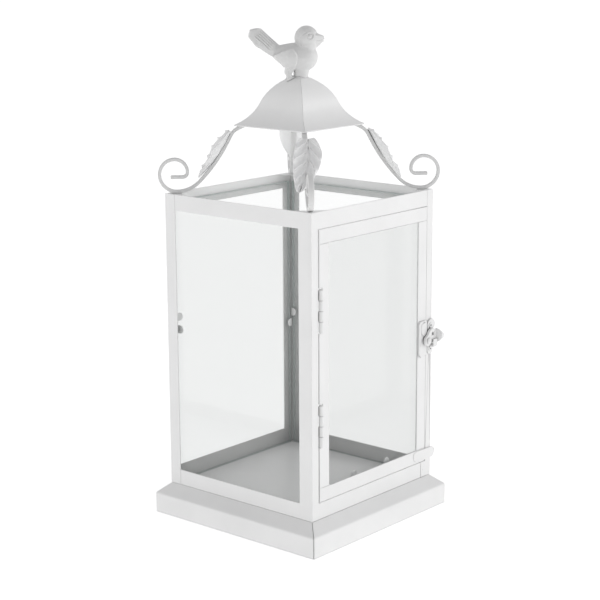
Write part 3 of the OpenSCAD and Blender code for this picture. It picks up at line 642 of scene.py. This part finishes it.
def tail_detail(x, y, z):
    """Moves of the tail's surface: grooves between feathers, and a step under the upper ones."""
    from_root = Vector((x, 0, z)) - TAIL_ROOT
    ahead = from_root.x * -math.cos(TAIL_RISE) + from_root.z * math.sin(TAIL_RISE)
    down = from_root.x * -math.sin(TAIL_RISE) - from_root.z * math.cos(TAIL_RISE)
    if ahead < 2 or down > 13:
        return 0.0
    fade = smoothstep(ahead, 2, 5) * (1 - smoothstep(ahead, 14, 17))
    step = 0.55 * (1 - smoothstep(down, 6.6, 7.1)) * smoothstep(abs(y), 1.5, 3)
    feather = abs(math.sin(math.pi * (down - 0.6) / FEATHER_SPACING))
    depth = 0.65 * (1 - smoothstep(down, 6.2, 6.8)) + 0.12
    return fade * (step - depth * hump(feather, 0.45))


def sculpt_bird(mesh, roof):
    """Wings, face and tail feathers, as moves of the mesh's points, and feet cut to the roof."""
    moves = []
    for vert in mesh.vertices:
        x, y, z = vert.co
        out = 0.0
        if abs(y) > 2.5 and -23 < x < 1 and 290 < z < 309:
            out += wing_height(x, z) * smoothstep(abs(y), 2.5, 4.2)
        if z > 305 and x > -1:
            out += face_detail(x, y, z)
        out += tail_detail(x, y, z)
        moves.append(vert.normal * out)
    for vert, move in zip(mesh.vertices, moves):
        vert.co += move
    for vert in mesh.vertices:
        if vert.co.z < ROOF_TOP:
            place = turned(BIRD_TURN) @ (vert.co * MM)
            above = Vector((place.x, place.y, RAY_START))
            hit = roof.ray_cast(above, Vector((0, 0, -1)))[0]
            if hit is not None:
                vert.co.z = max(vert.co.z, hit.z / MM + 0.05)


def make_bird(material):
    """The cast bird: masses joined by a voxel remesh, smoothed, and then sculpted."""
    bm = bmesh.new()
    bird_lumps(bm)
    rough = new_object("bird_masses", bm)
    remesh = rough.modifiers.new("join", "REMESH")
    remesh.mode = "VOXEL"
    remesh.voxel_size = VOXEL
    blend = rough.modifiers.new("blend", "SMOOTH")
    blend.factor = 0.5
    blend.iterations = 9
    bpy.context.view_layer.update()
    joined = rough.evaluated_get(bpy.context.evaluated_depsgraph_get())
    mesh = bpy.data.meshes.new_from_object(joined)
    bpy.data.objects.remove(rough)
    sculpt_bird(mesh, surface(*[side + "_roof_panel" for side in SIDES]))
    mesh.transform(turned(BIRD_TURN) @ Matrix.Scale(MM, 4))
    bird = bpy.data.objects.new("bird_cast", mesh)
    bpy.context.scene.collection.objects.link(bird)
    smooth(bird)
    add_piece(bird, "lantern_body", "painted_casting", [material], "bird")


# ---------------------------------------------------------------- assembly

make_camera()
make_world()
make_lamp("key", place=(1.85, -2.05, 1.0), size=1.6, power=13.5)
make_lamp("fill", place=(-1.9, 2.1, 0.9), size=1.8, power=3)
bpy.context.scene.view_settings.view_transform = "Standard"

SHEET_WHITE = (0.87, 0.87, 0.868, 1)
# Every paint below has painted shade in its creases; the sheets' paint shades only creases within
# its own piece
sheet_paint = white_paint_with_crease_shade("sheet_paint", SHEET_WHITE, grain=950, bump=0.25, own=True)
# The base's paint: its painted shade also darkens the line where the body stands on it
joint_shade_paint = white_paint_with_crease_shade("joint_shade_paint", SHEET_WHITE, grain=950, bump=0.25, reach=1.5, shade_tone=0.1)
# The fittings' paint: painted shade darkens their creases and their outlines against nearby pieces
fitting_paint = white_paint_with_crease_shade(
    "fitting_paint", (0.86, 0.86, 0.858, 1), grain=900, bump=0.3, reach=2.4, shade_tone=0.06)
# The bird's paint is a darker copy of the same white: painted shade over the whole bird, besides
# its crease shade
cast_shade_paint = white_paint_with_crease_shade(
    "cast_shade_paint", (0.74, 0.74, 0.737, 1), grain=620, bump=0.9, reach=2.2, shade_tone=0.12)
# The leaves' paint is a lighter copy of the same white: painted light over the leaves, besides
# their crease shade
leaf_light_and_shade_paint = white_paint_with_crease_shade(
    "leaf_light_and_shade_paint", (0.94, 0.94, 0.94, 1), grain=620, bump=0.6, reach=1.2, shade_tone=0.3)
# The straps' paint is a darker copy of the same white: painted shade over the straps, besides
# their crease shade
strap_shade_paint = white_paint_with_crease_shade(
    "strap_shade_paint", (0.75, 0.75, 0.747, 1), grain=800, bump=0.4, own=True)
pane_face = clear_glass("pane_glass", (0.958, 0.961, 0.959, 1))
door_face = clear_glass("door_pane_glass", (0.937, 0.940, 0.938, 1))
pane_edge = glass_edge()
zinc = zinc_steel()

make_stage()

# How far the edges of the painted CAD nodes are rounded, in millimetres
ROUNDED = {
    "base_tray": 0.3,
    "front_sheet": 0.32,
    "rear_sheet": 0.2,
    "door_frame": 0.15,
    "door_glass_clips": 0.12,
    "door_pull_tab": 0.25,
    "latch_plate": 0.25,
    "latch_pivot_rivet": 0.2,
    "latch_lever": 0.35,
    "latch_keeper": 0.3,
    "keeper_eyelets": 0.12,
    "corner_gussets": 0.1,
}
for window in WINDOWS:
    ROUNDED[window + "_glass_clips"] = 0.12
for hinge in ("upper_hinge", "lower_hinge"):
    ROUNDED[hinge + "_frame_leaf"] = 0.12
    ROUNDED[hinge + "_door_leaf"] = 0.12
    ROUNDED[hinge + "_pin"] = 0.15
for corner in CORNERS:
    ROUNDED[corner + "_strap"] = 0.5
for side in SIDES:
    ROUNDED[side + "_roof_panel"] = 0.15

for node, edge in ROUNDED.items():
    paint = sheet_paint
    if node == "base_tray":
        paint = joint_shade_paint
    elif node.endswith("strap"):
        paint = strap_shade_paint
    elif "hinge" in node or "keeper" in node or node in ("latch_plate", "latch_pivot_rivet"):
        paint = fitting_paint
    dress(node, paint, edge * MM)
for node in ("bird_screw", "bird_washer"):
    dress(node, zinc, 0.15 * MM)

make_bird(cast_shade_paint)
for corner in CORNERS:
    make_leaf(corner, leaf_light_and_shade_paint)

for window in WINDOWS:
    make_pane(window + "_glass", "lantern_body", pane_face, pane_edge)
make_pane("door_glass", "door", door_face, pane_edge)
